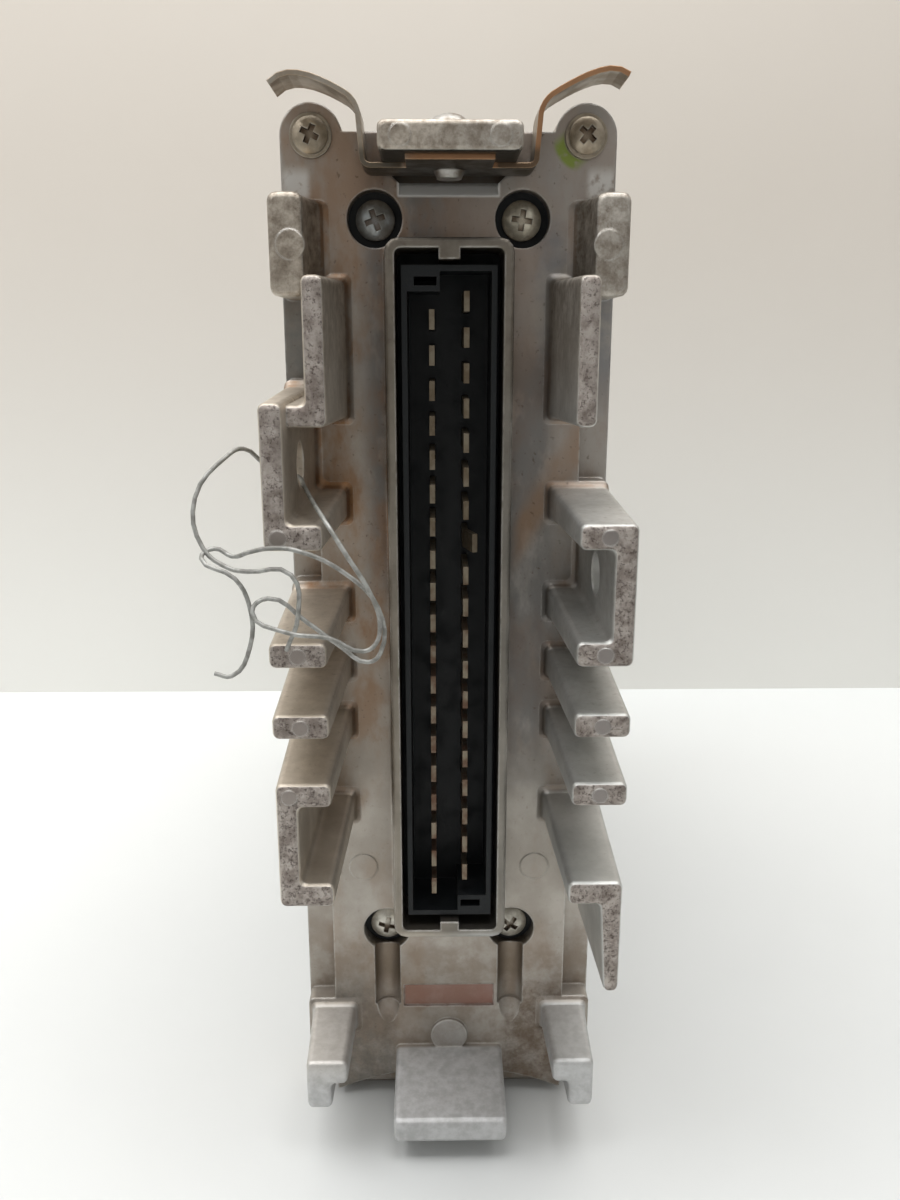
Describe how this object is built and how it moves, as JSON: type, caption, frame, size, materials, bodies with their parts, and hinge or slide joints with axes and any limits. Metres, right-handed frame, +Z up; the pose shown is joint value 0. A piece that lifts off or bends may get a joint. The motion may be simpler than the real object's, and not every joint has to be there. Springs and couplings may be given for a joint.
{
  "type": "engine control unit",
  "caption": "Narrow upright control unit with a die-cast finned front, a metal collar round a two-column blade connector, a spring clip and a closed case.",
  "frame": {"origin": "middle of the unit's box on the surface it stands on", "axes": "+Z up along the connector's columns, -Y out of the connector towards the plug, +X to the right seen from the plug side"},
  "size_m": [0.0579, 0.1814, 0.1678],
  "materials": {
    "raw_casting": "raw die-cast aluminium, stained and worn",
    "header_plastic": "matt black glass-filled plastic",
    "contact_metal": "tinned brass, dull",
    "zinc_screws": "zinc plated steel, dulled",
    "spring_steel": "spring steel strip with a brown tint",
    "rivet_metal": "plain steel",
    "gasket_rubber": "matt black rubber",
    "sleeve_aluminium": "plain aluminium, lightly scuffed",
    "carrier_aluminium": "plain aluminium",
    "board_laminate": "green lacquered laminate",
    "chip_plastic": "moulded black resin",
    "socket_plastic": "dark plastic",
    "capacitor_sleeve": "blue plastic sleeve",
    "crystal_can": "plated can",
    "coil_wire": "lacquered copper wire",
    "wire_steel": "galvanised wire, dull"
  },
  "bodies": {
    "root": {"front_casting": "raw_casting", "connector_header": "header_plastic", "contact_blades": "contact_metal", "header_screws": "zinc_screws", "corner_screws": "zinc_screws", "spring_clip": "spring_steel", "clip_rivet": "rivet_metal", "front_gasket": "gasket_rubber", "case_sleeve": "sleeve_aluminium", "rear_gasket": "gasket_rubber", "rear_cover": "sleeve_aluminium", "rear_screws": "zinc_screws", "header_carrier": "carrier_aluminium", "circuit_board": "board_laminate", "processor": "chip_plastic", "memory_socket": "socket_plastic", "memory_chip": "chip_plastic", "driver_chips": "chip_plastic", "capacitors": "capacitor_sleeve", "crystal": "crystal_can", "choke_coil": "coil_wire", "power_transistors": "chip_plastic", "clamp_bar": "carrier_aluminium", "clamp_screws": "zinc_screws", "seal_wire": "wire_steel"}
  },
  "joints": []
}
